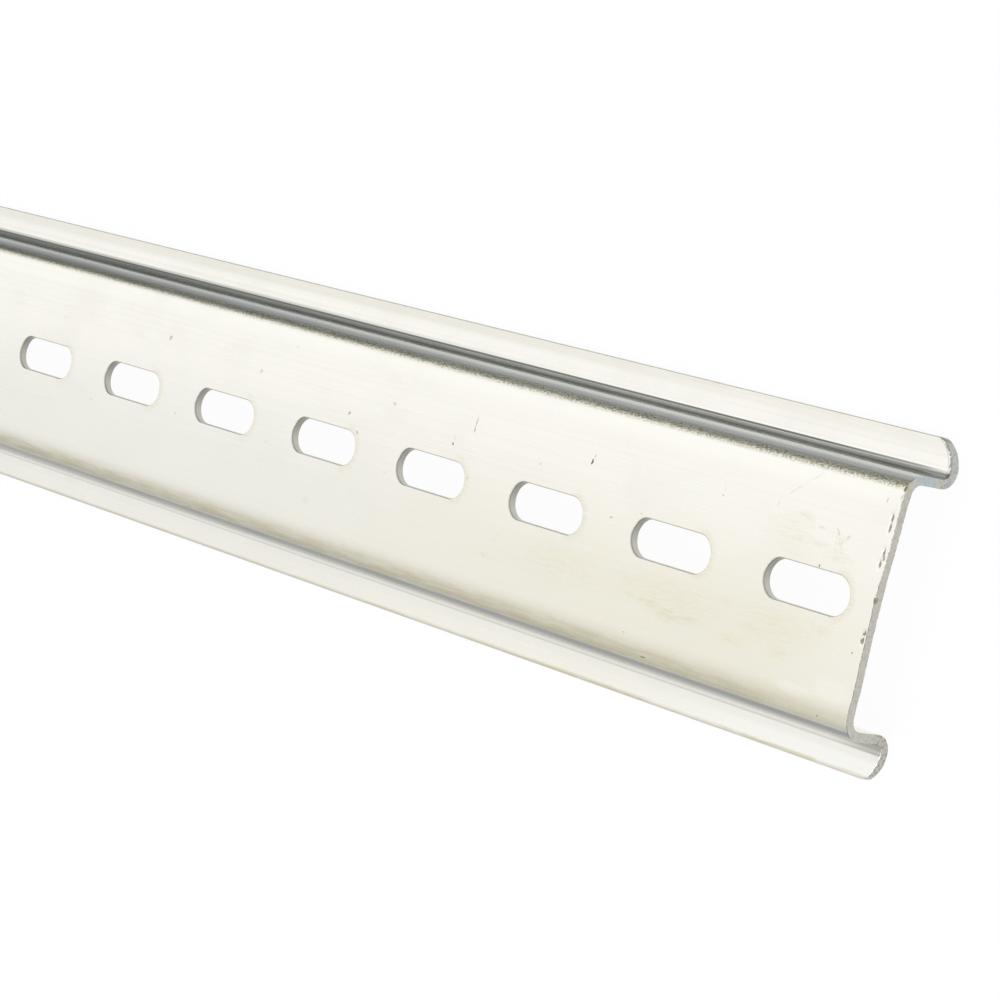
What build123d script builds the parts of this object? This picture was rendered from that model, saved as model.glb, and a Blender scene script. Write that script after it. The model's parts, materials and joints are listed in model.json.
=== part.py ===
"""Perforated top-hat mounting rail, 35 mm wide and 7.5 mm high, roll-formed from one strip of sheet steel.

X runs along the rail, Y across it and Z up. The rail lies on its two lips with the crown on top.
The origin is at the middle of the rail, on the surface that the lips lie on. All sizes are in millimetres.
"""

import os

from build123d import *

# Section of the rail
rail_length = 500.0
rail_width = 35.0
rail_height = 7.5
lip_reach = 4.0
sheet = 1.0
bend_inside_radius = 1.2

# Slots along the middle of the crown
slot_length = 12.0
slot_width = 4.2
slot_pitch = 20.0
first_slot_offset = 10.0
least_end_land = 3.0

# Rounding of the lips' corners at both ends, seen from above
lip_corner_radius = 2.5

# Values that follow from the sizes above
crown_width = rail_width - 2 * lip_reach
cut_overlap = sheet
end_x = rail_length / 2
first_slot_x = end_x - first_slot_offset
last_slot_limit = -end_x + least_end_land + slot_length / 2
slot_count = int((first_slot_x - last_slot_limit) // slot_pitch) + 1


def hat_section():
    """The strip's middle line, lip to lip over the crown, given the thickness of the sheet."""
    lip_edge = rail_width / 2
    leg_middle = (crown_width - sheet) / 2
    lip_middle = sheet / 2
    crown_middle = rail_height - sheet / 2
    half_line = [(lip_edge, lip_middle), (leg_middle, lip_middle), (leg_middle, crown_middle)]
    other_half = [(-y, z) for y, z in reversed(half_line)]
    middle_line = FilletPolyline(*half_line, *other_half, radius=bend_inside_radius + sheet / 2)
    return trace(middle_line, line_width=sheet)


def formed_strip():
    """The hat section drawn out over the whole length."""
    return extrude(Plane.YZ * hat_section(), amount=rail_length / 2, both=True)


def plan_outline():
    """A block as long and as wide as the rail, with the lips' rounded corners."""
    outline = RectangleRounded(rail_length, rail_width, lip_corner_radius)
    return extrude(outline, amount=rail_height)


def slot_cutters():
    """The row of round-ended slots, counted from the end at +X, as tall as the crown's sheet needs."""
    slot = SlotOverall(slot_length, slot_width)
    cutter = extrude(slot, amount=sheet + 2 * cut_overlap)
    cutter_base = rail_height - sheet - cut_overlap
    return [Pos(first_slot_x - i * slot_pitch, 0, cutter_base) * cutter for i in range(slot_count)]


def make_rail():
    """The whole rail as one solid."""
    return (formed_strip() & plan_outline()) - slot_cutters()


os.makedirs("parts", exist_ok=True)
rail = make_rail()
export_step(rail, "parts/rail.step")
print("slots", slot_count, "far end offset", round(first_slot_x - (slot_count - 1) * slot_pitch + end_x, 3))
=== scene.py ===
"""Looks of a perforated top-hat rail: one mesh of bright zinc-plated sheet steel on a white studio floor.

Lengths named here are in millimetres and are turned into metres where a mesh, lamp or camera is made.
X runs along the rail, Y across it and Z up. The rail lies on its lips with the crown on top.
Its near end, at +X, was cut by hand; its far end, at -X, is finished plainly.
"""

import json
import math

import bmesh
import bpy
import numpy as np
from mathutils import Matrix, Vector


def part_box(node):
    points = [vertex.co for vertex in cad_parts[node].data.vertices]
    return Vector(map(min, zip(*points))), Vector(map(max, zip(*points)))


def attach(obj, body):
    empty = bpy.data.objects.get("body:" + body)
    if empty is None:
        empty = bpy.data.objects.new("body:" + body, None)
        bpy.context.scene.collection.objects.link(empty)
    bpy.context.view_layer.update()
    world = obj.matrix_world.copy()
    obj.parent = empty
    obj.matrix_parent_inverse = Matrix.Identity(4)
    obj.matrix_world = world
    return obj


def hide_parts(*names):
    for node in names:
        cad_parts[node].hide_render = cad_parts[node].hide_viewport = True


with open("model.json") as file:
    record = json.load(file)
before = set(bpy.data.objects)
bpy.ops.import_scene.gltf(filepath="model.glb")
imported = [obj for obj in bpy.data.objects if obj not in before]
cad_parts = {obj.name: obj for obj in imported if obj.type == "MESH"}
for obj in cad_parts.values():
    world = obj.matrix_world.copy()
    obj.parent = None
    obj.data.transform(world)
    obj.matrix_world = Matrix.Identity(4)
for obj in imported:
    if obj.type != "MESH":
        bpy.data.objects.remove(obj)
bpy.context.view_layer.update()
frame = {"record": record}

MM = 0.001

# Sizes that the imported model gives
END_X, HALF_WIDTH, HEIGHT = [round(v / MM, 3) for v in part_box("rail")[1]]
slot_pairs = [m for m in frame["record"]["mounts"] if m["kind"] == "bolt_pattern"]
outer_slots = max(slot_pairs, key=lambda m: m["dims"]["spacing_x_mm"])
SLOT_HALF_WIDTH = outer_slots["dims"]["hole_r_mm"]
SLOT_LENGTH = outer_slots["dims"]["slot_length_mm"]
SLOT_SPAN = outer_slots["dims"]["spacing_x_mm"]
FIRST_SLOT_X = outer_slots["pos_m"][0] / MM + SLOT_SPAN / 2

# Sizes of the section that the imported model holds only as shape
SHEET = 1.0
LIP_REACH = 4.0
BEND_INSIDE = 1.2
LIP_CORNER = 2.5
SLOT_PITCH = 20.0

# The crown's edges fall away a little before they bend, as roll-formed sheet does
ROLL_OFF_START = 9.8
ROLL_OFF_END = 11.3
ROLL_OFF_RADIUS = 14.0

# Small rounding that shearing and punching left on the edges; the -Y lip's edge was rolled over further
EDGE_ROUND = 0.16
ROLLED_EDGE_ROUND = 0.28
PUNCH_ROUND = 0.14
BURR_ROUND = 0.06

# The near end was cut out of square: places across the rail and how far the cut lies inside the end there
CUT_LINE = (
    (-17.5, 0.70), (-17.0, 1.10), (-16.2, 1.25), (-15.0, 1.15), (-13.5, 0.95), (-12.0, 0.78),
    (-9.0, 0.58), (-3.5, 0.62), (2.0, 0.50), (6.0, 0.24), (10.0, 0.05), (11.5, 0.0),
    (14.5, 0.40), (15.3, 0.50), (16.3, 0.75), (17.0, 0.80), (17.5, 0.65),
)

# Teeth along the two edges of the near cut's face, deeper on the outer side of the sheet than on the inner.
# A millimetre up the leg counts as TOOTH_CLIMB along the edge, so that the legs have teeth too.
# TOOTH_SPARSENESS is the power that a random share is raised to, which leaves few deep teeth.
TOOTH_STEP = 0.3
TOOTH_REACH = 0.4
TOOTH_CLIMB = 0.8
TOOTH_DEPTH = {1: 0.14, -1: 0.10}
TOOTH_KNOT_COUNT = 300
TOOTH_SPARSENESS = 3
FACE_ROUGHNESS = 0.05

# Chips beside the near cut: place across the rail, distance in from the cut and half length
CHIPS = (
    (8.85, 0.80, 0.40),
    (7.85, 0.80, 0.45),
    (5.35, 0.70, 0.42),
    (4.80, 0.52, 0.16),
    (4.20, 0.80, 0.40),
    (0.70, 0.12, 0.35),
    (-2.70, 0.45, 0.20),
    (-3.50, 0.50, 0.26),
)
CHIP_HALF_WIDTH = 0.12
CHIP_DEPTH = 0.18

# Values that follow from the sizes above
HALF_SHEET = SHEET / 2
LEG_OUTER_Y = HALF_WIDTH - LIP_REACH
BEND_OUTSIDE = SHEET + BEND_INSIDE
LIP_START_Y = LEG_OUTER_Y + BEND_INSIDE
SLOT_HALF_STRAIGHT = SLOT_LENGTH / 2 - SLOT_HALF_WIDTH
SLOT_COUNT = round(SLOT_SPAN / SLOT_PITCH) + 1
CHIP_FLOOR_Z = HEIGHT - 1.5 * CHIP_DEPTH

# How finely the mesh is divided, and how near points are joined
ROLL_OFF_STEPS = 3
BEND_STEPS = 10
LEG_STEPS = 4
ARC_STEPS = 16
STRAIGHT_STEPS = 6
FINE_STEPS = 14
WALL_ROWS = 4
CORNER_ANGLES = (15, 30, 43, 55)
ROUND_ANGLES = (0, 30, 60, 90)
RING_SHARES = (0.0, 0.3, 0.65)
CORNER_STRETCH = 6.0
END_ROWS = (2.4, 2.1, 1.8, 1.5, 1.25, 1.05, 0.9, 0.78, 0.66, 0.54, 0.43, 0.33, 0.24)
ACROSS_STEPS = ARC_STEPS // 2
ALONG_STEPS = ARC_STEPS // 2 + STRAIGHT_STEPS
CELL_END_X = END_X - END_ROWS[0]
WELD_DISTANCE = 0.002

random = np.random.default_rng(7)
TOOTH_KNOTS = {side: random.random(TOOTH_KNOT_COUNT) ** TOOTH_SPARSENESS for side in (1, -1)}


def arc_columns(centre_y, centre_z, outer_radius, start_tilt, stop_tilt, steps):
    """Columns round a bend: a point on the sheet's middle and its normal.

    A negative radius bends the other way.
    """
    middle_radius = outer_radius - HALF_SHEET
    tilts = np.radians(np.linspace(start_tilt, stop_tilt, steps + 1))
    normals = [(math.sin(t), math.cos(t)) for t in tilts]
    return [(centre_y + middle_radius * ny, centre_z + middle_radius * nz, ny, nz) for ny, nz in normals]


def half_section(lip_round):
    """Columns from the edge of the crown's flat out to the +Y lip's edge, which is rounded by lip_round."""
    roll_tilt = math.asin((ROLL_OFF_END - ROLL_OFF_START) / ROLL_OFF_RADIUS)
    roll_end_z = HEIGHT - ROLL_OFF_RADIUS * (1 - math.cos(roll_tilt))
    bend_radius = (LEG_OUTER_Y - ROLL_OFF_END) / (1 - math.sin(roll_tilt))
    bend_y = LEG_OUTER_Y - bend_radius
    bend_z = roll_end_z - bend_radius * math.cos(roll_tilt)
    roll_angle = math.degrees(roll_tilt)
    roll_z = HEIGHT - ROLL_OFF_RADIUS

    roll_off = arc_columns(ROLL_OFF_START, roll_z, ROLL_OFF_RADIUS, 0, roll_angle, ROLL_OFF_STEPS)
    upper_bend = arc_columns(bend_y, bend_z, bend_radius, roll_angle, 90, BEND_STEPS)
    leg_zs = np.linspace(bend_z, BEND_OUTSIDE, LEG_STEPS + 1)[1:-1]
    leg = [(LEG_OUTER_Y - HALF_SHEET, z, 1.0, 0.0) for z in leg_zs]
    lower_bend = arc_columns(LIP_START_Y, BEND_OUTSIDE, -BEND_INSIDE, 90, 0, BEND_STEPS)
    lip_ys = [HALF_WIDTH - LIP_CORNER * (1 - math.sin(math.radians(a))) for a in CORNER_ANGLES]
    lip_ys += [HALF_WIDTH - lip_round * (1 - math.sin(math.radians(a))) for a in ROUND_ANGLES]
    lip = [(y, HALF_SHEET, 0.0, 1.0) for y in lip_ys]
    return roll_off + upper_bend[1:] + leg + lower_bend + lip


def mirrored(columns):
    """The same columns on the -Y side, from the lip's edge in to the crown."""
    return [(-y, z, -ny, nz) for y, z, ny, nz in reversed(columns)]


def crown_columns(steps):
    """Columns across the crown's flat, both edges included."""
    ys = np.linspace(-ROLL_OFF_START, ROLL_OFF_START, steps + 1)
    return [(y, HEIGHT - HALF_SHEET, 0.0, 1.0) for y in ys]


def end_reach(y):
    """How far the rail reaches along X at a distance y from its middle, with the lips' rounded corners."""
    into_corner = np.maximum(np.abs(y) - (HALF_WIDTH - LIP_CORNER), 0.0)
    return END_X - LIP_CORNER + np.sqrt(np.maximum(LIP_CORNER**2 - into_corner**2, 0.0))


def edge_distance(x, y):
    """Distance in from the rail's outline, seen from above."""
    past_x = np.abs(x) - (END_X - LIP_CORNER)
    past_y = np.abs(y) - (HALF_WIDTH - LIP_CORNER)
    outside = np.hypot(np.maximum(past_x, 0.0), np.maximum(past_y, 0.0))
    return LIP_CORNER - outside - np.minimum(np.maximum(past_x, past_y), 0.0)


def rounding_drop(distance, radius):
    """How far a rounded edge lies under the flat, at a distance in from the edge."""
    inside = np.clip(radius - distance, 0.0, radius)
    return radius - np.sqrt(radius**2 - inside**2)


def edge_round(y, side):
    """Radius of the outline's edge: larger towards the -Y lip's edge on the outer side of the sheet."""
    rolled = np.interp(y, (-HALF_WIDTH, -HALF_WIDTH + LIP_CORNER), (ROLLED_EDGE_ROUND, EDGE_ROUND))
    return rolled if side == 1 else np.full_like(y, EDGE_ROUND)


def cut_inset(y):
    """How far the near cut lies inside the end, at a distance y from the rail's middle."""
    return np.interp(y, *zip(*CUT_LINE))


def tooth_inset(y, z, side):
    """Small teeth that the cut left along one edge of the near end's face."""
    along_edge = (y + TOOTH_CLIMB * z + HALF_WIDTH) / TOOTH_STEP
    knots = TOOTH_KNOTS[side]
    return TOOTH_DEPTH[side] * np.interp(along_edge, np.arange(len(knots)), knots)


def chip_share(x, y):
    """1 in the middle of a chip beside the near cut, falling to 0 round it."""
    share = np.zeros_like(x)
    for chip_y, inset, half_length in CHIPS:
        chip_x = END_X - cut_inset(chip_y) - inset
        away = ((x - chip_x) / CHIP_HALF_WIDTH) ** 2 + ((y - chip_y) / half_length) ** 2
        share = np.maximum(share, np.exp(-away))
    return share


def strip_points(stations, columns, side):
    """Grid of points on one side of the sheet: 1 is the side of the crown's outer face, -1 the other."""
    x = np.repeat(np.array(stations)[:, None], len(columns), axis=1)
    y, z, ny, nz = [np.repeat(np.array(v)[None, :], len(stations), axis=0) for v in zip(*columns)]
    stretch_start = END_X - CORNER_STRETCH
    into_stretch = np.maximum(np.abs(x) - stretch_start, 0.0) / CORNER_STRETCH
    corner_x = np.sign(x) * (stretch_start + into_stretch * (end_reach(y) - stretch_start))
    x = np.where(into_stretch > 0, corner_x, x)
    distance = edge_distance(x, y)
    drop = rounding_drop(distance, edge_round(y, side))
    near_share = np.clip(1 - (end_reach(y) - x) / END_ROWS[0], 0.0, 1.0)
    tooth_share = np.clip(1 - distance / TOOTH_REACH, 0.0, 1.0) * (near_share > 0)
    x = x - cut_inset(y) * near_share - tooth_inset(y, z, side) * tooth_share
    if side == 1:
        drop = drop + CHIP_DEPTH * chip_share(x, y) * (z > HEIGHT - SHEET)
    height = side * (HALF_SHEET - drop)
    return np.stack([x, y + height * ny, z + height * nz], axis=-1)


def grid_quads(points, closed=False):
    """Four-cornered faces of a grid of points, closed round its second direction if asked."""
    if closed:
        points = np.concatenate([points, points[:, :1]], axis=1)
    quads = np.stack([points[:-1, :-1], points[1:, :-1], points[1:, 1:], points[:-1, 1:]], axis=2)
    return quads.reshape(-1, 4, 3)


def joining_faces(coarse_row, fine_row):
    """Triangles between a row of points and a row with FINE_STEPS times as many spaces."""
    triangles = []
    for i, (start, stop) in enumerate(zip(coarse_row[:-1], coarse_row[1:])):
        first = i * FINE_STEPS
        middle = first + FINE_STEPS // 2
        for j in range(first, first + FINE_STEPS):
            triangles.append((start if j < middle else stop, fine_row[j], fine_row[j + 1]))
        triangles.append((start, fine_row[middle], stop))
    return np.array(triangles)


def wall_quads(top_line, bottom_line, roughness=0.0):
    """The sheet's cut face between a line on its outer side and the matching line on its inner side.

    Points inside the face are set back by up to roughness, and its border stays where it is.
    """
    shares = np.linspace(0, 1, WALL_ROWS + 1)[:, None, None]
    points = top_line[None] * (1 - shares) + bottom_line[None] * shares
    points[1:-1, 1:-1, 0] -= roughness * random.random(points[1:-1, 1:-1, 0].shape)
    return grid_quads(points)


def slot_ring(offset):
    """Outline of a slot moved out by offset, about its centre, anticlockwise from 45 degrees under +X."""
    radius = SLOT_HALF_WIDTH + offset
    quarter = ARC_STEPS // 4
    step = math.pi / ARC_STEPS

    def arc(centre_x, first, last):
        angles = [i * step for i in range(first, last)]
        return [(centre_x + radius * math.cos(a), radius * math.sin(a)) for a in angles]

    run = [SLOT_HALF_STRAIGHT * (1 - 2 * i / STRAIGHT_STEPS) for i in range(STRAIGHT_STEPS)]
    upper_run = [(x, radius) for x in run]
    lower_run = [(-x, -radius) for x in run]
    right = arc(SLOT_HALF_STRAIGHT, -quarter, 2 * quarter)
    left = arc(-SLOT_HALF_STRAIGHT, 2 * quarter, 6 * quarter)
    right_again = arc(SLOT_HALF_STRAIGHT, -2 * quarter, -quarter)
    return np.array(right + upper_run + left + lower_run + right_again)


def cell_ring(low_x, high_x):
    """Rectangle round a slot, from one cell boundary to the next, point for point with slot_ring."""
    across = np.linspace(-ROLL_OFF_START, ROLL_OFF_START, ACROSS_STEPS + 1)[:-1]
    along = np.linspace(high_x, low_x, ALONG_STEPS + 1)[:-1]
    right = [(high_x, y) for y in across]
    upper = [(x, ROLL_OFF_START) for x in along]
    left = [(low_x, -y) for y in across]
    lower = [(low_x + high_x - x, -ROLL_OFF_START) for x in along]
    return np.array(right + upper + left + lower)


def slot_cell(centre_x, low_x, high_x):
    """The crown's flat round a slot: outer face, rolled-in edge, punched wall, small burr and inner face."""
    inner_z = HEIGHT - SHEET
    boundary = cell_ring(low_x, high_x)

    def ring_at(plan, z):
        return np.column_stack([plan, np.full(len(plan), z)])

    def slot_at(offset):
        return slot_ring(offset) + (centre_x, 0)

    def face_rings(edge_offset, z, shares):
        return [ring_at(boundary * (1 - s) + slot_at(edge_offset) * s, z) for s in shares]

    rings = face_rings(PUNCH_ROUND, HEIGHT, RING_SHARES)
    for angle in map(math.radians, ROUND_ANGLES):
        drop = PUNCH_ROUND * (1 - math.cos(angle))
        rings.append(ring_at(slot_at(PUNCH_ROUND * (1 - math.sin(angle))), HEIGHT - drop))
    wall_zs = np.linspace(HEIGHT - PUNCH_ROUND, inner_z + BURR_ROUND, WALL_ROWS + 1)
    rings += [ring_at(slot_at(0), z) for z in wall_zs[1:-1]]
    for angle in map(math.radians, reversed(ROUND_ANGLES)):
        rise = BURR_ROUND * (1 - math.cos(angle))
        rings.append(ring_at(slot_at(BURR_ROUND * (1 - math.sin(angle))), inner_z + rise))
    rings += face_rings(BURR_ROUND, inner_z, reversed(RING_SHARES))
    return grid_quads(np.stack(rings), closed=True)


def cell_bounds():
    """Centre and X limits of the cell round each slot, from the -X end to the +X end."""
    centres = [FIRST_SLOT_X - i * SLOT_PITCH for i in reversed(range(SLOT_COUNT))]
    limits = [-CELL_END_X] + [c + SLOT_PITCH / 2 for c in centres[:-1]] + [CELL_END_X]
    return list(zip(centres, limits[:-1], limits[1:]))


def rail_faces():
    """Every face of the rail, as arrays of corners in millimetres, one array for each kind of face."""
    cells = cell_bounds()
    end_rows = [END_X - row for row in END_ROWS]
    end_rows += [END_X - EDGE_ROUND * (1 - math.sin(math.radians(a))) for a in ROUND_ANGLES]
    stations = [-x for x in reversed(end_rows)]
    for _, low_x, high_x in cells:
        stations += list(np.linspace(low_x, high_x, ALONG_STEPS + 1)[1:])
    stations += end_rows[1:]

    plus_side = half_section(EDGE_ROUND)
    minus_side = mirrored(half_section(ROLLED_EDGE_ROUND))
    coarse_crown = crown_columns(ACROSS_STEPS)
    fine_crown = crown_columns(ACROSS_STEPS * FINE_STEPS)
    whole = minus_side + fine_crown[1:-1] + plus_side

    faces = [slot_cell(*cell) for cell in cells]
    for half in (plus_side, minus_side):
        faces += [grid_quads(strip_points(stations, half, side)) for side in (1, -1)]
    for edge in (plus_side[-1:], minus_side[:1]):
        edge_lines = [strip_points(stations, edge, side)[:, 0] for side in (1, -1)]
        faces.append(wall_quads(*edge_lines))
    for end, roughness in ((1, FACE_ROUGHNESS), (-1, 0.0)):
        rows = [end * x for x in end_rows]
        for side in (1, -1):
            coarse_row = strip_points(rows[:1], coarse_crown, side)[0]
            fine_grid = strip_points(rows[1:], fine_crown, side)
            faces += [joining_faces(coarse_row, fine_grid[0]), grid_quads(fine_grid)]
        end_lines = [strip_points(rows[-1:], whole, side)[0] for side in (1, -1)]
        faces.append(wall_quads(*end_lines, roughness))
    return faces


def from_cut(x, y):
    """Distance of each point from the sheared end on its side, along X."""
    reach = end_reach(y) - np.where(x > 0, cut_inset(y), 0.0)
    return np.maximum(reach - np.abs(x), 0.0)


def keep_at_points(mesh, name, values):
    """Stores one number for each point of the mesh, for the material to read."""
    mesh.attributes.new(name, "FLOAT", "POINT").data.foreach_set("value", values.astype(np.float32))


def joined_mesh(face_arrays):
    """One mesh of all the faces, with the points that fall together joined."""
    corners, corner_lists, start = [], [], 0
    for faces in face_arrays:
        count, sides, _ = faces.shape
        corners.append(faces.reshape(-1, 3))
        corner_lists += (start + np.arange(count * sides)).reshape(count, sides).tolist()
        start += count * sides
    mesh = bpy.data.meshes.new("rail_body")
    mesh.from_pydata((np.concatenate(corners) * MM).tolist(), [], corner_lists)
    shaped = bmesh.new()
    shaped.from_mesh(mesh)
    bmesh.ops.remove_doubles(shaped, verts=shaped.verts, dist=WELD_DISTANCE * MM)
    bmesh.ops.recalc_face_normals(shaped, faces=shaped.faces)
    shaped.to_mesh(mesh)
    shaped.free()
    mesh.shade_smooth()
    return mesh


def make_rail():
    """The rail as one closed mesh that keeps its points' distance from the cut and share of a chip."""
    mesh = joined_mesh(rail_faces())
    places = np.empty(3 * len(mesh.vertices))
    mesh.vertices.foreach_get("co", places)
    x, y, z = (places.reshape(-1, 3) / MM).T
    keep_at_points(mesh, "from_cut", from_cut(x, y))
    keep_at_points(mesh, "chipped", chip_share(x, y) * (z > CHIP_FLOOR_Z))

    piece = bpy.data.objects.new("rail_body", mesh)
    bpy.context.scene.collection.objects.link(piece)
    weighted = piece.modifiers.new("flat_faces", "WEIGHTED_NORMAL")
    weighted.weight = 100
    bpy.context.view_layer.objects.active = piece
    bpy.ops.object.modifier_apply(modifier=weighted.name)
    return piece


class Graph:
    """Short ways to add nodes to a material's or the world's tree."""

    def __init__(self, owner):
        owner.use_nodes = True
        self.tree = owner.node_tree
        self.tree.nodes.clear()

    def put(self, socket, value):
        """Links a socket to another node's output, or sets it to a constant."""
        if isinstance(value, bpy.types.NodeSocket):
            self.tree.links.new(value, socket)
        else:
            socket.default_value = value

    def node(self, kind, inputs=None, **settings):
        made = self.tree.nodes.new(kind)
        for name, value in settings.items():
            setattr(made, name, value)
        for name, value in (inputs or {}).items():
            self.put(made.inputs[name], value)
        return made

    def math(self, operation, *values):
        return self.node("ShaderNodeMath", dict(enumerate(values)), operation=operation).outputs[0]

    def product(self, first, *others):
        for other in others:
            first = self.math("MULTIPLY", first, other)
        return first

    def total(self, first, *others):
        for other in others:
            first = self.math("ADD", first, other)
        return first

    def largest(self, first, *others):
        for other in others:
            first = self.math("MAXIMUM", first, other)
        return first

    def rest_of(self, share):
        """What is left of 1 when share is taken off."""
        return self.math("SUBTRACT", 1.0, share)

    def length(self, first, second):
        """Length of the slanted side over two square ones."""
        return self.math("SQRT", self.total(self.product(first, first), self.product(second, second)))

    def vector(self, operation, *values):
        made = self.node("ShaderNodeVectorMath", dict(enumerate(values)), operation=operation)
        return made.outputs["Value"] if operation == "LENGTH" else made.outputs["Vector"]

    def ramp(self, value, start, stop, low=0.0, high=1.0):
        """Smooth step of value from low at start to high at stop."""
        limits = {"Value": value, "From Min": start, "From Max": stop, "To Min": low, "To Max": high}
        return self.node("ShaderNodeMapRange", limits, interpolation_type="SMOOTHSTEP").outputs["Result"]

    def band(self, value, limits):
        """1 within a band of value; the limits are where it starts, is full, starts to fade and ends."""
        start, full, fading, end = limits
        return self.product(self.ramp(value, start, full), self.ramp(value, end, fading))

    def mix(self, share, first, second):
        """Mix of two colours by share."""
        made = self.node("ShaderNodeMix", data_type="RGBA")
        self.put(made.inputs["Factor"], share)
        self.put(next(s for s in made.inputs if s.identifier == "A_Color"), first)
        self.put(next(s for s in made.inputs if s.identifier == "B_Color"), second)
        return next(s for s in made.outputs if s.identifier == "Result_Color")

    def noise(self, place, cells, detail=3.0, rough=0.55):
        """Noise over a place in millimetres, with so many cells to the millimetre along X, Y and Z."""
        scaled = self.vector("MULTIPLY", place, cells)
        inputs = {"Vector": scaled, "Scale": 1.0, "Detail": detail, "Roughness": rough}
        return self.node("ShaderNodeTexNoise", inputs).outputs["Fac"]

    def spot(self, place, centre, half_size, turn=0.0, core=0.4):
        """1 in an ellipsoid's core, turned about Z by so many degrees, falling to 0 at its surface."""
        angle = -math.radians(turn)
        turned_centre = Matrix.Rotation(angle, 3, "Z") @ Vector(centre)
        if turn:
            inputs = {"Vector": place, "Angle": angle}
            place = self.node("ShaderNodeVectorRotate", inputs, rotation_type="Z_AXIS").outputs[0]
        shrink = [1 / size for size in half_size]
        shift = [-c * s for c, s in zip(turned_centre, shrink)]
        local = self.vector("MULTIPLY_ADD", place, shrink, shift)
        return self.ramp(self.vector("LENGTH", local), 1.0, core)


def rgb(red, green, blue):
    return (red, green, blue, 1.0)


# Colours of the clean plate; ZINC_DULL also serves as painted shade, and the -Y lip's white and the lips'
# edge colour are a painted highlight and a painted reflection
ZINC = rgb(0.94, 0.925, 0.88)
ZINC_DULL = rgb(0.868, 0.86, 0.822)
ZINC_YELLOW = rgb(0.878, 0.853, 0.75)
LIP_DULL = rgb(0.82, 0.805, 0.735)
LIP_HIGHLIGHT = rgb(0.977, 0.979, 0.969)
LIP_EDGE_REFLECTION = rgb(0.76, 0.70, 0.50)
LIP_SIDE = rgb(0.50, 0.49, 0.535)

# Colours where the section was formed: painted reflections in the -Y corner and on the legs, painted shade
# in the +Y groove and on the outer bends, and the bend's own olive tone and grain
COOL_CORNER_REFLECTION = rgb(0.87, 0.88, 0.90)
CORNER_HIGHLIGHT = rgb(1.0, 1.0, 1.0)
LEG_REFLECTION = rgb(0.565, 0.585, 0.56)
GROOVE_SHADE = rgb(0.10, 0.12, 0.125)
OUTER_BEND_SHADE = rgb(0.37, 0.38, 0.37)
BEND_OLIVE = rgb(0.92, 0.89, 0.71)
BEND_GRAIN = rgb(0.38, 0.37, 0.27)

# Colours of stains and marks, and of painted shade: browner along the crown's -Y edge and darker in the
# lines of the corners and bends
BROWN_EDGE_SHADE = rgb(0.68, 0.64, 0.52)
STAIN = rgb(0.74, 0.685, 0.47)
CREASE_SHADE = rgb(0.13, 0.14, 0.125)
FAINT_MARK = rgb(0.50, 0.45, 0.29)
DEEP_MARK = rgb(0.15, 0.125, 0.08)

# Colours where the sheet was punched, cut or chipped; the darker punched colours are painted shade on the
# slots' far walls and rims, and the darkest bare colour is painted shade on the near end's feet
PUNCHED = rgb(0.64, 0.63, 0.57)
PUNCHED_SHADE = rgb(0.35, 0.35, 0.31)
PUNCHED_RIM_SHADE_AND_SPECKS = rgb(0.26, 0.26, 0.22)
BARE_STEEL = rgb(0.60, 0.585, 0.52)
BARE_DARK = rgb(0.44, 0.43, 0.38)
BARE_FEET_SHADE = rgb(0.32, 0.315, 0.295)
BARE_BLUE = rgb(0.43, 0.52, 0.60)
BARE_EDGE = rgb(0.20, 0.20, 0.18)
CHIPPED = rgb(0.27, 0.25, 0.18)

# Bands across the section, as distances from the rail's middle: start, full, fading and end
GROOVE_BAND = (11.9, 12.5, 14.5, 14.8)
BEND_GRAIN_BAND = (11.6, 12.15, 12.6, 13.0)
BEND_LINE_BAND = (12.7, 12.9, 13.2, 13.35)
COOL_CORNER_BAND = (12.9, 13.2, 14.6, 14.9)
SECOND_LINE_BAND = (13.56, 13.64, 13.82, 13.90)
FIRST_LINE_BAND = (14.14, 14.20, 14.33, 14.42)
HIGHLIGHT_LINE_BAND = (14.22, 14.32, 14.48, 14.58)
LIP_LINE_BAND = (14.56, 14.64, 14.70, 14.80)

# The leg's height, on its outer face and on the sheared end, in the same order
LEG_HEIGHTS = (1.3, 2.2, 5.8, 6.3)
LEG_END_HEIGHTS = (2.6, 3.6, 5.6, 6.6)

# The line inside the near lip's cut, as distances from the cut, in the same order
BURR_LINE_BAND = (0.50, 0.56, 0.62, 0.70)

# How squarely a face turns to the end where the cut's edge shows, in the same order
CUT_EDGE_TURN = (0.15, 0.35, 0.60, 0.85)

# Where the painted shade on the outer bend starts, as distances from the rail's middle on the -Y and +Y
# sides, and its fade
SHADE_STARTS = (12.52, 12.56)
SHADE_FADE = 0.25

# Ranges over which a zone grows from nothing to full, as heights
CROWN_HEIGHTS = (3.0, 5.0)
OUTER_BEND_HEIGHTS = (4.6, 6.0)
COOL_CORNER_HEIGHTS = (4.0, 3.0)
FOOT_END_HEIGHTS = (3.4, 1.6)
CORNER_LINE_HEIGHTS = (3.1, 2.2)
LIP_HEIGHTS = (2.0, 1.4)
LIP_SIDE_HEIGHTS = (0.93, 0.86)
SLOT_WALL_HEIGHTS = (HEIGHT - 1.3 * SHEET, HEIGHT - SHEET)
SLOT_EDGE_HEIGHTS = (HEIGHT - 0.28, HEIGHT - 0.14)

# The same, as distances from the middle of a bend
OUTER_BEND_RADII = (BEND_INSIDE + 0.3, BEND_INSIDE + 0.7)

# The same, as distances from the rail's middle on both sides
LEG_FACE_RANGE = (12.8, 13.1)
INNER_LIP_RANGE = (15.9, 15.3)
OUTER_LIP_RANGE = (15.8, 16.8)
LIP_EDGE_RANGE = (16.9, 17.1)
LIP_SIDE_RANGE = (17.1, 17.2)

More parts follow.
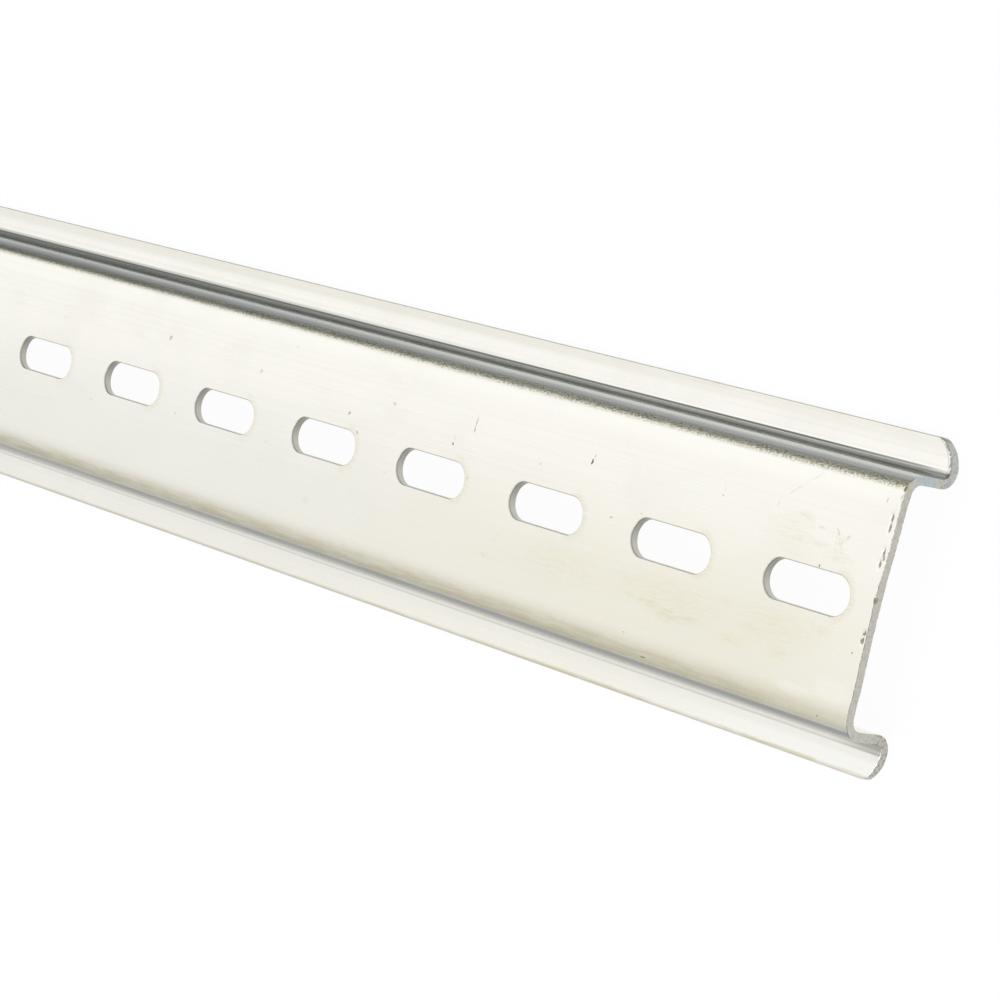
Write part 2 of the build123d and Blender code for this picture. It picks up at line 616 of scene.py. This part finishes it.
# The same, as places along Y
# The crown towards -Y gets a yellow film and painted shade, and its -Y edge gets painted shade
FILM_AND_SHADE_RANGE = (6.5, -5.0)
EDGE_SHADE_RANGE = (-10.4, -11.8)
DARK_EDGE_RANGE = (4.0, 2.0)
SLOT_SHADE_RANGE = (-1.8, 1.6)

# The same, as distances from a slot's outline, and as places along X from a slot's centre
SLOT_WALL_GAPS = (0.10, 0.03)
SLOT_EDGE_GAPS = (0.20, 0.08)
HALO_GAPS = (1.2, 0.1)
SLOT_FAR_END = (-3.4, -5.0)
SLOT_NEAR_END = (3.0, 5.0)

# The same, as distances from a sheared end
SHEARED_GAPS = (0.9, 0.7)
BURR_EDGE_GAPS = (0.60, 0.40)
RAGGED_BURR_GAPS = (0.46, 0.30)

# How deep the relief is where its height is 1
RELIEF_DISTANCE = 0.1

# How far the outlines of marks and of stains wander, along X, Y and Z
WANDER_CELLS = 2.2
MARK_WANDER = (0.5, 0.5, 0.0)
STAIN_WANDER = (3.0, 0.9, 0.0)

# Nicks and scratches in the crown:
# distance from the near end, place across, half length, half width, lean in degrees and strength
MARKS = (
    (0.25, 12.0, 0.50, 0.24, 75, 0.60),
    (0.35, 11.1, 0.40, 0.13, 80, 0.40),
    (2.0, 10.4, 0.40, 0.10, 80, 0.40),
    (2.1, -4.9, 0.11, 0.10, 0, 0.60),
    (4.9, -12.0, 0.18, 0.13, 0, 0.60),
    (5.9, 5.85, 0.55, 0.14, 51, 0.24),
    (7.4, 6.20, 0.60, 0.16, -47, 0.26),
    (8.8, 2.40, 0.16, 0.14, 0, 0.50),
    (9.7, 6.10, 0.60, 0.14, 5, 0.20),
    (11.8, 10.9, 1.40, 0.08, 36, 0.19),
    (12.5, 10.4, 1.05, 0.07, 35, 0.16),
    (14.4, 9.00, 1.90, 0.08, 35, 0.21),
    (16.2, 7.25, 0.70, 0.09, 73, 0.22),
    (13.7, -12.7, 0.22, 0.13, 0, 0.60),
    (24.1, 6.60, 0.18, 0.13, 0, 0.40),
    (24.0, 7.40, 0.70, 0.07, 90, 0.22),
    (30.6, -12.0, 0.70, 0.11, 0, 0.55),
    (33.9, -10.1, 0.25, 0.07, 0, 0.45),
    (35.2, 2.35, 0.12, 0.11, 0, 0.50),
    (39.6, 1.10, 0.30, 0.12, 25, 0.42),
    (44.3, 6.25, 0.45, 0.21, 75, 0.80),
    (44.0, 6.90, 0.40, 0.13, 60, 0.35),
    (52.3, 4.45, 0.20, 0.13, 90, 0.40),
    (56.5, -4.3, 0.45, 0.06, 0, 0.22),
    (56.9, -4.9, 0.55, 0.06, 90, 0.22),
    (64.0, 7.00, 0.90, 0.12, 84, 0.38),
    (64.1, 6.20, 0.50, 0.12, 86, 0.60),
    (63.6, 0.70, 0.60, 0.17, 80, 0.22),
    (67.2, 3.95, 0.22, 0.18, 0, 0.65),
    (67.1, 4.60, 0.45, 0.11, 85, 0.28),
    (77.9, -1.5, 0.12, 0.11, 0, 0.40),
    (78.6, 6.45, 0.38, 0.17, -25, 0.32),
    (84.2, 2.10, 0.48, 0.17, -45, 0.36),
    (86.3, 4.00, 0.36, 0.20, 60, 0.42),
    (98.5, 9.90, 0.38, 0.13, 20, 0.25),
    (100.6, -2.0, 0.32, 0.09, 0, 0.30),
    (104.4, 5.90, 0.38, 0.26, 60, 0.28),
    (119.7, -2.0, 0.32, 0.20, 0, 0.25),
    (123.8, 6.90, 0.55, 0.40, 45, 0.34),
    (138.0, -3.4, 0.50, 0.26, 0, 0.14),
    (147.3, 5.75, 0.80, 0.13, 0, 0.16),
)
MARK_HALF_HEIGHT = 1.0

# Yellow-brown stains on the crown:
# distance from the near end, place across, half length, half width and strength
STAINS = (
    (6.8, 4.6, 0.45, 1.2, 0.85),
    (6.6, 3.7, 1.8, 0.40, 0.55),
    (12.0, 6.8, 1.2, 0.50, 0.55),
    (11.8, 4.5, 3.6, 0.35, 0.60),
    (13.5, 5.0, 2.8, 1.8, 0.40),
    (6.9, -3.5, 1.6, 0.90, 0.45),
    (11.9, -7.1, 1.6, 0.60, 0.60),
    (13.3, -4.6, 1.1, 0.50, 0.45),
    (16.0, -5.6, 2.0, 0.30, 0.75),
    (18.5, -7.4, 2.2, 0.55, 0.55),
    (20.2, -3.8, 1.0, 0.45, 0.50),
    (25.2, -6.8, 2.0, 0.50, 0.85),
    (28.0, -6.9, 2.6, 0.70, 1.00),
    (31.2, -6.3, 2.2, 0.45, 0.90),
    (34.6, -6.0, 1.6, 0.40, 0.55),
    (13.0, -4.6, 6.0, 2.0, 0.36),
    (29.0, -5.2, 9.0, 1.8, 0.42),
    (46.0, -5.5, 7.0, 1.8, 0.36),
    (58.0, -6.9, 0.80, 0.24, 0.95),
    (91.0, -7.2, 0.90, 0.40, 0.40),
)

# A stain fades out evenly from its middle, and its rim lies past its half sizes by these factors
STAIN_SPREAD_ALONG = 1.7
STAIN_SPREAD_ACROSS = 1.8

# Places rubbed pale: distance from the near end, place across, half length and half width
RUBBED = (
    (3.6, -9.2, 3.2, 1.7),
    (8.5, -10.2, 3.5, 0.8),
)


class ZincPlate(Graph):
    """Bright zinc plate with rolling lines, clouds, stains and nicks, bare where cut, with painted shade and
    reflections where formed, along the lips and in the slots.
    """

    def __init__(self, material):
        super().__init__(material)
        self.find_places()
        self.make_noises()
        self.find_bends()
        self.find_lips()
        self.find_cut()
        self.find_slots()
        self.find_stains_and_marks()

    def by_side(self, minus, plus):
        """One number on the -Y side of the rail and another on the +Y side."""
        return self.ramp(self.y, -1.0, 1.0, minus, plus)

    def along(self, start, stop, low=0.0, high=1.0):
        """Smooth step from low to high between two distances from the near end."""
        return self.ramp(self.x, END_X - start, END_X - stop, low, high)

    def crown_spot(self, place, from_end, across_at, half_length, half_width, turn=0.0, core=0.4):
        """A spot on the crown's outer face, by its distance from the near end and its place across."""
        centre = (END_X - from_end, across_at, HEIGHT)
        return self.spot(place, centre, (half_length, half_width, MARK_HALF_HEIGHT), turn, core)

    def find_places(self):
        """Places in millimetres, plain and wandering, and the parts of the rail that they lie in."""
        object_place = self.node("ShaderNodeTexCoord").outputs["Object"]
        self.place = self.vector("MULTIPLY", object_place, (1 / MM,) * 3)
        inputs = {"Vector": self.place, "Scale": WANDER_CELLS, "Detail": 3.0}
        wander = self.node("ShaderNodeTexNoise", inputs).outputs["Color"]
        wander = self.vector("SUBTRACT", wander, (0.5, 0.5, 0.5))
        self.mark_place = self.vector("ADD", self.place, self.vector("MULTIPLY", wander, MARK_WANDER))
        self.stain_place = self.vector("ADD", self.place, self.vector("MULTIPLY", wander, STAIN_WANDER))
        self.x, self.y, self.z = self.node("ShaderNodeSeparateXYZ", {0: self.place}).outputs
        self.across = self.math("ABSOLUTE", self.y)
        self.plus_side = self.by_side(0.0, 1.0)
        self.minus_side = self.by_side(1.0, 0.0)
        self.near_half = self.ramp(self.x, 0.0, 1.0)
        self.crown = self.ramp(self.z, *CROWN_HEIGHTS)
        self.lip = self.ramp(self.z, *LIP_HEIGHTS)
        self.cut_gap = self.node("ShaderNodeAttribute", attribute_name="from_cut").outputs["Fac"]
        self.chipped = self.node("ShaderNodeAttribute", attribute_name="chipped").outputs["Fac"]

    def make_noises(self):
        """Noise at the scales of the rolling, the plating and the grain."""
        self.rolling = self.noise(self.place, (0.008, 2.4, 2.4), 1.5)
        self.cloud = self.noise(self.place, (0.11, 0.17, 0.17), 4.0)
        self.streak = self.noise(self.place, (0.16, 1.5, 1.5), 5.0, 0.65)
        self.smear = self.noise(self.place, (0.50, 3.6, 3.6), 5.0, 0.7)
        self.grain = self.noise(self.place, (3.6, 5.2, 5.2), 1.5, 0.6)
        self.speckle = self.noise(self.place, (3.2, 3.2, 3.2), 4.0, 0.7)
        self.uneven = self.math("SUBTRACT", self.speckle, 0.5)

    def find_bends(self):
        """Where the section was bent, for painted shade and reflections: the bends' outer edges, the legs
        and the corners over the lips.
        """
        over_bend = self.math("SUBTRACT", self.across, LEG_OUTER_Y - BEND_OUTSIDE)
        up_bend = self.math("SUBTRACT", self.z, HEIGHT - BEND_OUTSIDE)
        from_bend = self.length(over_bend, up_bend)
        outer_face = self.ramp(from_bend, *OUTER_BEND_RADII)
        outer_bend = self.product(outer_face, self.ramp(self.z, *OUTER_BEND_HEIGHTS))
        # Painted shade on the outer bends, from these starts outwards
        past_shade_start = self.math("SUBTRACT", self.across, self.by_side(*SHADE_STARTS))
        self.shaded_bend = self.product(self.ramp(past_shade_start, 0.0, SHADE_FADE), outer_bend)
        self.bend_grain = self.product(self.band(self.across, BEND_GRAIN_BAND), outer_bend, self.plus_side)
        # A painted shade line along the -Y bend
        self.bend_line = self.product(self.band(self.across, BEND_LINE_BAND), outer_bend, self.minus_side)
        # The legs, with a painted reflection, dimmer and bluer, most on the +Y side
        self.leg = self.product(self.band(self.z, LEG_HEIGHTS), self.ramp(self.across, *LEG_FACE_RANGE))

        # Dark lines of painted shade in the +Y corner over the lip
        first_line = self.product(self.band(self.across, FIRST_LINE_BAND), self.along(3, 20, 0.7, 1.0))
        second_line = self.product(self.band(self.across, SECOND_LINE_BAND), 0.85)
        lines = self.largest(first_line, second_line)
        low_lines = self.product(lines, self.ramp(self.z, *CORNER_LINE_HEIGHTS))
        self.corner = self.product(low_lines, self.plus_side, self.along(0.8, 5.0, 0.3, 1.0))
        groove = self.product(self.band(self.across, GROOVE_BAND), self.plus_side)
        self.groove_shade = self.product(groove, self.along(30, 150, 0.0, 0.45))
        # The -Y corner, painted a cooler tone as its reflection
        corner = self.band(self.across, COOL_CORNER_BAND)
        self.cool_corner = self.product(corner, self.ramp(self.z, *COOL_CORNER_HEIGHTS), self.minus_side)

    def find_lips(self):
        """The painted highlight and shade lines along the -Y lip, the painted reflection along both lips'
        edges, and their side faces.
        """
        minus_lip = self.product(self.lip, self.minus_side)
        # A painted highlight line in the -Y corner over the lip
        self.highlight_line = self.product(self.band(self.across, HIGHLIGHT_LINE_BAND), minus_lip)
        # A painted shade line in the -Y corner over the lip, beside the highlight
        self.lip_line = self.product(self.band(self.across, LIP_LINE_BAND), minus_lip)
        # A yellow, streaked painted reflection along the lips' outer edges
        outer_edge = self.product(self.ramp(self.across, *LIP_EDGE_RANGE), self.lip)
        reflecting_edge = self.product(outer_edge, self.ramp(self.streak, 0.40, 0.58))
        self.lip_edge = self.product(reflecting_edge, self.by_side(0.65, 0.2), self.along(100, 30, 0.3, 1.0))
        outer_side = self.ramp(self.across, *LIP_SIDE_RANGE)
        self.lip_side = self.product(self.ramp(self.z, *LIP_SIDE_HEIGHTS), outer_side)

    def find_cut(self):
        """The sheared ends, and the burr that the near cut left on the +Y lip."""
        normal = self.node("ShaderNodeNewGeometry").outputs["Normal"]
        facing = self.node("ShaderNodeSeparateXYZ", {0: normal}).outputs
        facing_end = self.math("ABSOLUTE", facing["X"])
        facing_up = self.math("ABSOLUTE", facing["Z"])
        at_cut = self.ramp(self.cut_gap, *SHEARED_GAPS)
        self.bare = self.product(self.ramp(facing_end, 0.5, 0.8), at_cut)
        cut_edge = self.product(self.band(facing_end, CUT_EDGE_TURN), at_cut)
        self.bare_edge = self.product(cut_edge, self.ramp(facing_up, 0.2, 0.45))
        ragged_gap = self.total(self.cut_gap, self.product(self.uneven, 2.0))
        near_lip = self.product(self.lip, self.plus_side, self.near_half, self.rest_of(self.bare))
        self.burr_line = self.product(self.band(self.cut_gap, BURR_LINE_BAND), near_lip, 0.3)
        ragged_edge = self.ramp(ragged_gap, *RAGGED_BURR_GAPS)
        self.burr_edge = self.product(ragged_edge, self.ramp(self.cut_gap, *BURR_EDGE_GAPS), near_lip, 0.8)

    def find_slots(self):
        """Where the slots were punched: the wall with painted shade at its far end, its rolled-in edge
        darkened by painted shade and random specks, and a halo past the slot's +X end.
        """
        from_first = self.math("SUBTRACT", self.x, FIRST_SLOT_X)
        slot_x = self.math("WRAP", from_first, SLOT_PITCH / 2, -SLOT_PITCH / 2)
        past_straight = self.math("SUBTRACT", self.math("ABSOLUTE", slot_x), SLOT_HALF_STRAIGHT)
        from_slot = self.length(self.largest(past_straight, 0.0), self.y)
        slot_gap = self.math("SUBTRACT", from_slot, SLOT_HALF_WIDTH)
        crown_sheet = self.ramp(self.z, *SLOT_WALL_HEIGHTS)
        self.slot_wall = self.product(self.ramp(slot_gap, *SLOT_WALL_GAPS), crown_sheet)
        # Painted shade on the slot's far wall, deepest on its +Y side
        far_end = self.ramp(slot_x, *SLOT_FAR_END)
        self.slot_shade = self.product(far_end, self.ramp(self.y, *SLOT_SHADE_RANGE, 0.15, 1.0))
        # The rolled-in edge darkened: painted shade at the slot's far end, and random specks
        upper_edge = self.ramp(self.z, *SLOT_EDGE_HEIGHTS)
        edge_strength = self.total(self.product(far_end, 0.4), self.ramp(self.speckle, 0.5, 0.7, 0.0, 0.3))
        self.rolled_edge = self.product(self.ramp(slot_gap, *SLOT_EDGE_GAPS), upper_edge, edge_strength)
        near_end = self.ramp(slot_x, *SLOT_NEAR_END)
        self.halo = self.product(self.ramp(slot_gap, *HALO_GAPS), near_end, 0.7)

    def find_stains_and_marks(self):
        """Stains, rubbed places, nicks and scratches on the crown's outer face."""
        stain = self.halo
        for from_end, across_at, half_length, half_width, strength in STAINS:
            reach = (STAIN_SPREAD_ALONG * half_length, STAIN_SPREAD_ACROSS * half_width)
            patch = self.crown_spot(self.stain_place, from_end, across_at, *reach, core=0.0)
            stain = self.largest(stain, self.product(patch, strength))
        self.stain = self.product(stain, self.ramp(self.smear, 0.34, 0.64, 0.1, 1.0))
        self.rubbed = 0.0
        for where in RUBBED:
            self.rubbed = self.largest(self.crown_spot(self.mark_place, *where), self.rubbed)
        self.mark = 0.0
        for *where, lean, strength in MARKS:
            cut = self.crown_spot(self.mark_place, *where, turn=lean)
            self.mark = self.largest(self.product(cut, strength), self.mark)
        ragged_chip = self.total(self.chipped, self.product(self.uneven, 0.9))
        self.chip = self.product(self.ramp(ragged_chip, 0.12, 0.55), self.ramp(self.chipped, 0.02, 0.15))

    def plate_colour(self):
        """The plate itself: a yellow film and painted shade low on the crown, towards -Y, dull clouds and
        lines, and the lips' tones, with painted shade and a painted highlight on the -Y lip.
        """
        # Painted shade on the crown towards -Y, yellowed by a film towards the near end
        yellow_share = self.product(self.along(115, 15), self.ramp(self.streak, 0.35, 0.62, 0.5, 1.0))
        yellow_film_over_shade = self.mix(yellow_share, ZINC_DULL, ZINC_YELLOW)
        unrubbed = self.rest_of(self.product(self.rubbed, 0.75))
        low_half = self.product(self.ramp(self.y, *FILM_AND_SHADE_RANGE), self.crown)
        film_and_shade_share = self.product(low_half, unrubbed, self.along(2, 16, 0.55, 1.0))
        colour = self.mix(film_and_shade_share, ZINC, yellow_film_over_shade)

        clouded = self.ramp(self.cloud, 0.48, 0.72, 0.0, 0.22)
        dulled = self.total(clouded, self.ramp(self.rolling, 0.5, 0.75, 0.0, 0.2))
        # Painted shade on the -Y lip, growing away from the near end
        far_lip_shade = self.product(self.along(20, 120, 0.0, 0.75), self.minus_side)
        lip_shade_and_lines = self.largest(far_lip_shade, self.ramp(self.rolling, 0.42, 0.70, 0.0, 0.4))
        colour = self.mix(self.largest(dulled, self.product(self.lip, lip_shade_and_lines)), colour, ZINC_DULL)

        plus_lip = self.product(self.lip, self.plus_side)
        minus_lip = self.product(self.lip, self.minus_side)
        outer_lip = self.product(self.ramp(self.across, *OUTER_LIP_RANGE), plus_lip)
        colour = self.mix(self.product(outer_lip, self.along(10, 90, 0.4, 0.9)), colour, LIP_DULL)
        # Painted highlight on the -Y lip close to the near end
        colour = self.mix(self.product(minus_lip, self.along(50, 4)), colour, LIP_HIGHLIGHT)
        inner_lip = self.product(self.ramp(self.across, *INNER_LIP_RANGE), minus_lip, 0.5)
        return self.mix(inner_lip, colour, ZINC_DULL)

    def add_films(self, colour):
        """Stains, painted shade along the crown's -Y edge, a painted reflection along the lips' edges, and
        the lips' side faces.
        """
        colour = self.mix(self.product(self.stain, 0.72), colour, STAIN)
        # Painted shade, browner and streaked, along the crown's -Y edge
        crown_edge = self.product(self.ramp(self.y, *EDGE_SHADE_RANGE), self.crown)
        streaked = self.ramp(self.streak, 0.36, 0.62, 0.15, 0.65)
        streaked_edge_shade = self.product(crown_edge, streaked, self.along(2, 25, 0.35, 1.0))
        colour = self.mix(streaked_edge_shade, colour, BROWN_EDGE_SHADE)
        # Painted reflection along the lips' outer edges
        colour = self.mix(self.lip_edge, colour, LIP_EDGE_REFLECTION)
        return self.mix(self.lip_side, colour, LIP_SIDE)

    def add_bends(self, colour):
        """Painted reflections and painted shade on the bends, legs and corners, with painted shade in their
        lines.
        """
        # A cooler tone and a highlight line painted as reflection in the -Y corner
        colour = self.mix(self.cool_corner, colour, self.mix(self.highlight_line, COOL_CORNER_REFLECTION, CORNER_HIGHLIGHT))
        colour = self.mix(self.product(self.bend_grain, 0.7), colour, BEND_OLIVE)
        grain = self.product(self.bend_grain, self.ramp(self.grain, 0.43, 0.63, 0.0, 0.85))
        colour = self.mix(grain, colour, BEND_GRAIN)
        # Painted shade on the outer bends
        colour = self.mix(self.shaded_bend, colour, OUTER_BEND_SHADE)
        # Legs with a painted reflection, dimmer and bluer
        colour = self.mix(self.product(self.leg, self.by_side(0.35, 1.0)), colour, LEG_REFLECTION)
        colour = self.mix(self.groove_shade, colour, GROOVE_SHADE)
        # Painted shade in the -Y corner near the cut, and in the lines of the corners and the -Y bend
        cut_corner_shade = self.product(self.cool_corner, self.along(9, 2, 0.0, 0.35))
        colour = self.mix(cut_corner_shade, colour, CREASE_SHADE)
        corner_lines = self.product(self.corner, self.ramp(self.rolling, 0.35, 0.65, 1.0, 0.85))
        minus_lines = self.largest(self.product(self.bend_line, 0.35), self.product(self.lip_line, 0.2))
        return self.mix(self.largest(corner_lines, minus_lines), colour, CREASE_SHADE)

    def bare_colour(self):
        """The sheared steel: speckled, and on the near end with painted shade on the feet and bluish on the
        +Y side.
        """
        colour = self.mix(self.ramp(self.speckle, 0.42, 0.66, 0.0, 0.7), BARE_STEEL, BARE_DARK)
        # Painted shade on the feet of the near end's face, with random specks
        foot_end = self.product(self.ramp(self.z, *FOOT_END_HEIGHTS), self.by_side(0.8, 0.7))
        feet_shade = self.product(foot_end, self.near_half, self.ramp(self.speckle, 0.40, 0.62))
        colour = self.mix(feet_shade, colour, BARE_FEET_SHADE)
        leg_or_lip = self.largest(self.band(self.z, LEG_END_HEIGHTS), self.product(self.lip, 0.5))
        blue_specks = self.product(leg_or_lip, self.ramp(self.speckle, 0.40, 0.56))
        return self.mix(self.product(blue_specks, self.plus_side, self.near_half), colour, BARE_BLUE)

    def add_cuts(self, colour):
        """Slot walls with painted shade, sheared ends with their edges and burr, chips, and the marks over
        all of it.
        """
        # Painted shade on the slots' far walls
        colour = self.mix(self.slot_wall, colour, self.mix(self.slot_shade, PUNCHED, PUNCHED_SHADE))
        # Rims darkened with painted shade and random specks
        colour = self.mix(self.rolled_edge, colour, PUNCHED_RIM_SHADE_AND_SPECKS)
        colour = self.mix(self.bare, colour, self.bare_colour())
        low_end = self.product(self.ramp(self.y, *DARK_EDGE_RANGE), self.crown, self.near_half)
        low_edge = self.product(low_end, self.ramp(self.speckle, 0.30, 0.52, 0.4, 1.0))
        edge_share = self.largest(low_edge, self.ramp(self.speckle, 0.40, 0.62, 0.1, 0.7))
        cut_edge = self.product(self.bare_edge, edge_share)
        colour = self.mix(self.largest(cut_edge, self.burr_line, self.burr_edge), colour, BARE_EDGE)
        colour = self.mix(self.product(self.chip, 0.82), colour, CHIPPED)
        mark_colour = self.mix(self.ramp(self.mark, 0.25, 0.75), FAINT_MARK, DEEP_MARK)
        return self.mix(self.ramp(self.mark, 0.0, 0.6), colour, mark_colour)

    def colour(self):
        """Colour, from the clean plate to what lies over it."""
        return self.add_cuts(self.add_bends(self.add_films(self.plate_colour())))

    def roughness(self):
        """Rougher in clouds and lines, and most where the plate is cut, chipped or scratched."""
        clouded = self.ramp(self.cloud, 0.3, 0.8, 0.24, 0.31)
        plated = self.total(clouded, self.ramp(self.rolling, 0.3, 0.7, -0.02, 0.03))
        damaged = self.product(self.largest(self.mark, self.chip), 0.3)
        worn = self.largest(self.product(self.bare, 0.22), damaged, self.product(self.slot_wall, 0.15))
        return self.total(plated, worn)

    def relief(self):
        """Fine relief of the rolling lines, the grain on the bend and the torn steel of the ends."""
        bend_relief = self.product(self.grain, self.bend_grain, 0.25)
        torn_relief = self.product(self.speckle, self.bare, 0.18)
        height = self.total(self.product(self.rolling, 0.010), bend_relief, torn_relief)
        inputs = {"Strength": 1.0, "Distance": RELIEF_DISTANCE * MM, "Height": height}
        return self.node("ShaderNodeBump", inputs).outputs["Normal"]


def zinc_material():
    """The rail's material."""
    material = bpy.data.materials.new("zinc_plate")
    plate = ZincPlate(material)
    shader = plate.node(
        "ShaderNodeBsdfPrincipled",
        {
            "Base Color": plate.colour(),
            "Metallic": 1.0,
            "Roughness": plate.roughness(),
            "Normal": plate.relief(),
        },
    )
    plate.node("ShaderNodeOutputMaterial", {"Surface": shader.outputs["BSDF"]})
    return material


FLOOR_HALF = 30000.0
FLOOR_DROP = 0.05
FLOOR_GLOW = 0.95
FLOOR_WHITE = rgb(0.9, 0.9, 0.9)
WHITE = rgb(1.0, 1.0, 1.0)


def white_rays(g):
    """1 for rays from the eye and for mirrored or refracted rays, which see the floor as white."""
    path = g.node("ShaderNodeLightPath").outputs
    return g.largest(path["Is Camera Ray"], path["Is Glossy Ray"], path["Is Transmission Ray"])


def make_floor():
    """White floor that glows to the eye as a white sweep does, and keeps part of the rail's shadow."""
    half = FLOOR_HALF * MM
    corners = [(-half, -half, 0), (half, -half, 0), (half, half, 0), (-half, half, 0)]
    mesh = bpy.data.meshes.new("floor")
    mesh.from_pydata(corners, [], [(0, 1, 2, 3)])
    floor = bpy.data.objects.new("floor", mesh)
    floor.location.z = -FLOOR_DROP * MM
    bpy.context.scene.collection.objects.link(floor)
    material = bpy.data.materials.new("white_floor")
    g = Graph(material)
    matte = g.node("ShaderNodeBsdfDiffuse", {"Color": FLOOR_WHITE}).outputs[0]
    glow = g.node("ShaderNodeEmission", {"Color": WHITE, "Strength": 1.0}).outputs[0]
    share = g.product(white_rays(g), FLOOR_GLOW)
    mixed = g.node("ShaderNodeMixShader", {0: share, 1: matte, 2: glow}).outputs[0]
    g.node("ShaderNodeOutputMaterial", {"Surface": mixed})
    mesh.materials.append(material)


PANEL = rgb(1.06, 1.06, 1.05)
WALL_HIGH = rgb(0.76, 0.74, 0.66)
WALL_LOW = rgb(0.48, 0.47, 0.41)
FLAG = rgb(0.20, 0.205, 0.20)
HORIZON = rgb(0.80, 0.80, 0.78)


def make_world():
    """White panel overhead, a dark flag low beyond the +Y side and a warm wall beyond the -Y side."""
    world = bpy.data.worlds.new("studio")
    bpy.context.scene.world = world
    g = Graph(world)
    way = g.node("ShaderNodeSeparateXYZ", {0: g.node("ShaderNodeTexCoord").outputs["Generated"]}).outputs
    far_end = g.ramp(way["X"], 0.1, -0.4)
    at_wall = g.product(g.ramp(way["Y"], 0.0, -0.30), far_end)
    at_flag = g.product(g.ramp(way["Y"], 0.20, 0.45), g.ramp(way["Z"], 0.52, 0.36), far_end)
    wall = g.mix(g.ramp(way["Z"], 0.0, 0.6), WALL_LOW, WALL_HIGH)
    tent = g.mix(g.ramp(way["Z"], 0.6, 0.1), PANEL, HORIZON)
    tent = g.mix(at_wall, tent, wall)
    tent = g.mix(at_flag, tent, FLAG)
    light = g.node("ShaderNodeBackground", {"Color": tent, "Strength": 1.0}).outputs[0]
    g.node("ShaderNodeOutputWorld", {"Surface": light})


CAMERA_PLACE = Vector((473.6, 24.6, 258.4))
CAMERA_AIM = Vector((192.55, -0.58, 7.5))
CAMERA_ROLL = -12.61
CAMERA_LENS = 123.8
SENSOR_WIDTH = 36.0
NEAREST_SEEN = 10.0


def make_camera():
    """Camera beyond the near end, looking down along the rail, with +Y almost upright in the picture."""
    data = bpy.data.cameras.new("camera")
    data.lens = CAMERA_LENS
    data.sensor_width = SENSOR_WIDTH
    data.clip_start = NEAREST_SEEN * MM
    camera = bpy.data.objects.new("camera", data)
    bpy.context.scene.collection.objects.link(camera)
    forward = (CAMERA_AIM - CAMERA_PLACE).normalized()
    level_up = (Vector((0, 1, 0)) - forward * forward.y).normalized()
    level_right = forward.cross(level_up)
    roll = math.radians(CAMERA_ROLL)
    up = level_up * math.cos(roll) + level_right * math.sin(roll)
    right = forward.cross(up)
    turn = Matrix((right, up, -forward)).transposed().to_4x4()
    camera.matrix_world = Matrix.Translation(CAMERA_PLACE * MM) @ turn
    bpy.context.scene.camera = camera


def make_lamp(name, place, aim, size, watts):
    """A soft square lamp."""
    data = bpy.data.lights.new(name, "AREA")
    data.shape = "SQUARE"
    data.size = size * MM
    data.energy = watts
    lamp = bpy.data.objects.new(name, data)
    bpy.context.scene.collection.objects.link(lamp)
    away = (Vector(place) - Vector(aim)).normalized()
    turn = away.to_track_quat("Z", "Y").to_matrix().to_4x4()
    lamp.matrix_world = Matrix.Translation(Vector(place) * MM) @ turn


rail = make_rail()
rail.data.materials.append(zinc_material())
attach(rail, "root")
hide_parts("rail")

make_floor()
make_world()
make_lamp("key_lamp", place=(300, -500, 900), aim=(200, 0, 0), size=500, watts=2.5)
make_camera()
bpy.context.scene.view_settings.view_transform = "Standard"
